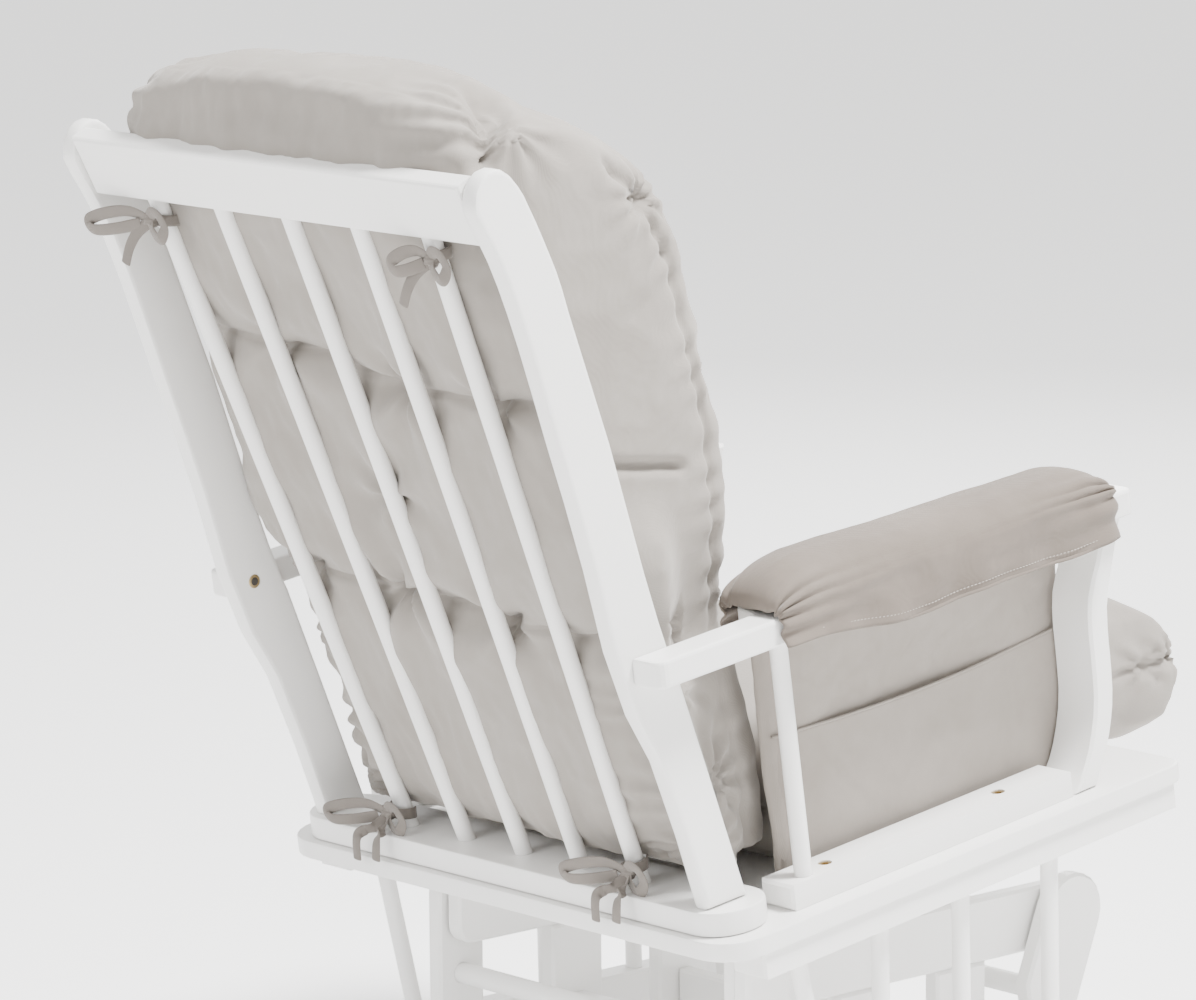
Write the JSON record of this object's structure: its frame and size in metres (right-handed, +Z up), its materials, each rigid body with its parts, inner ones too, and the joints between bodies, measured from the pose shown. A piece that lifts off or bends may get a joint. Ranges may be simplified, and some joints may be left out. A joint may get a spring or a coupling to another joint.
{
  "type": "glider nursery chair",
  "caption": "Spindle-back glider chair: a tilted cushioned seat hangs on four wooden swing links from a low standing base, with padded pocketed arm covers.",
  "frame": {"origin": "on the floor under the middle of the chair's box", "axes": "+Z up, -Y the way the sitter faces, +X at the sitter's left hand"},
  "size_m": [0.698, 1.0016, 1.1432],
  "materials": {
    "white_paint": "satin white paint on wood",
    "cushion_fabric": "short brushed microfibre",
    "cover_fabric": "brushed microfibre, a shade darker",
    "brass": "dull",
    "steel": "zinc plated"
  },
  "bodies": {
    "base": {"runner_left": "white_paint", "runner_right": "white_paint", "base_post_rear_left": "white_paint", "base_post_rear_right": "white_paint", "base_post_front_left": "white_paint", "base_post_front_right": "white_paint", "base_rail_left": "white_paint", "base_rail_right": "white_paint", "base_stretcher_rear": "white_paint", "base_stretcher_front": "white_paint", "pivot_pin_rear_left": "steel", "pivot_pin_rear_right": "steel", "pivot_pin_front_left": "steel", "pivot_pin_front_right": "steel"},
    "rear_swing": {"rear_swing_link_left": "white_paint", "rear_swing_link_right": "white_paint", "rear_swing_dowel": "white_paint"},
    "front_swing": {"front_swing_link_left": "white_paint", "front_swing_link_right": "white_paint", "front_swing_dowel": "white_paint"},
    "seat": {"seat_board": "white_paint", "under_rail_left": "white_paint", "under_rail_right": "white_paint", "arm_base_rail_left": "white_paint", "arm_base_rail_right": "white_paint", "arm_post_left": "white_paint", "arm_post_right": "white_paint", "arm_spindle_left": "white_paint", "arm_spindle_right": "white_paint", "arm_left": "white_paint", "arm_right": "white_paint", "back_rail": "white_paint", "upright_left": "white_paint", "upright_right": "white_paint", "top_rail": "white_paint", "back_spindle_1": "white_paint", "back_spindle_2": "white_paint", "back_spindle_3": "white_paint", "back_spindle_4": "white_paint", "back_spindle_5": "white_paint", "arm_bolt_rear_left": "brass", "arm_bolt_rear_right": "brass", "arm_bolt_front_left": "brass", "arm_bolt_front_right": "brass", "seat_cushion": "cushion_fabric", "back_cushion": "cushion_fabric", "arm_cover_left": "cover_fabric", "arm_cover_right": "cover_fabric", "lower_rail_left": "white_paint", "lower_rail_right": "white_paint", "side_spindle_1_left": "white_paint", "side_spindle_1_right": "white_paint", "side_spindle_2_left": "white_paint", "side_spindle_2_right": "white_paint", "side_spindle_3_left": "white_paint", "side_spindle_3_right": "white_paint", "side_spindle_4_left": "white_paint", "side_spindle_4_right": "white_paint", "rear_axle": "steel", "front_axle": "steel"}
  },
  "joints": [
    {"name": "rear_swing_hinge", "type": "hinge", "parent": "base", "child": "rear_swing", "pos_m": [0, 0.07317, 0.23], "axis": [1, 0, 0], "range_deg": [-20, 20]},
    {"name": "seat_hinge", "type": "hinge", "parent": "rear_swing", "child": "seat", "pos_m": [0, 0.07317, 0.072], "axis": [1, 0, 0], "range_deg": [-20, 20]},
    {"name": "front_swing_hinge", "type": "hinge", "parent": "base", "child": "front_swing", "pos_m": [0, -0.33083, 0.23], "axis": [1, 0, 0], "range_deg": [-20, 20]}
  ],
  "couplings": [
    {"joint": "seat_hinge", "follows": "rear_swing_hinge", "ratio": -1},
    {"joint": "front_swing_hinge", "follows": "rear_swing_hinge", "ratio": 1}
  ]
}
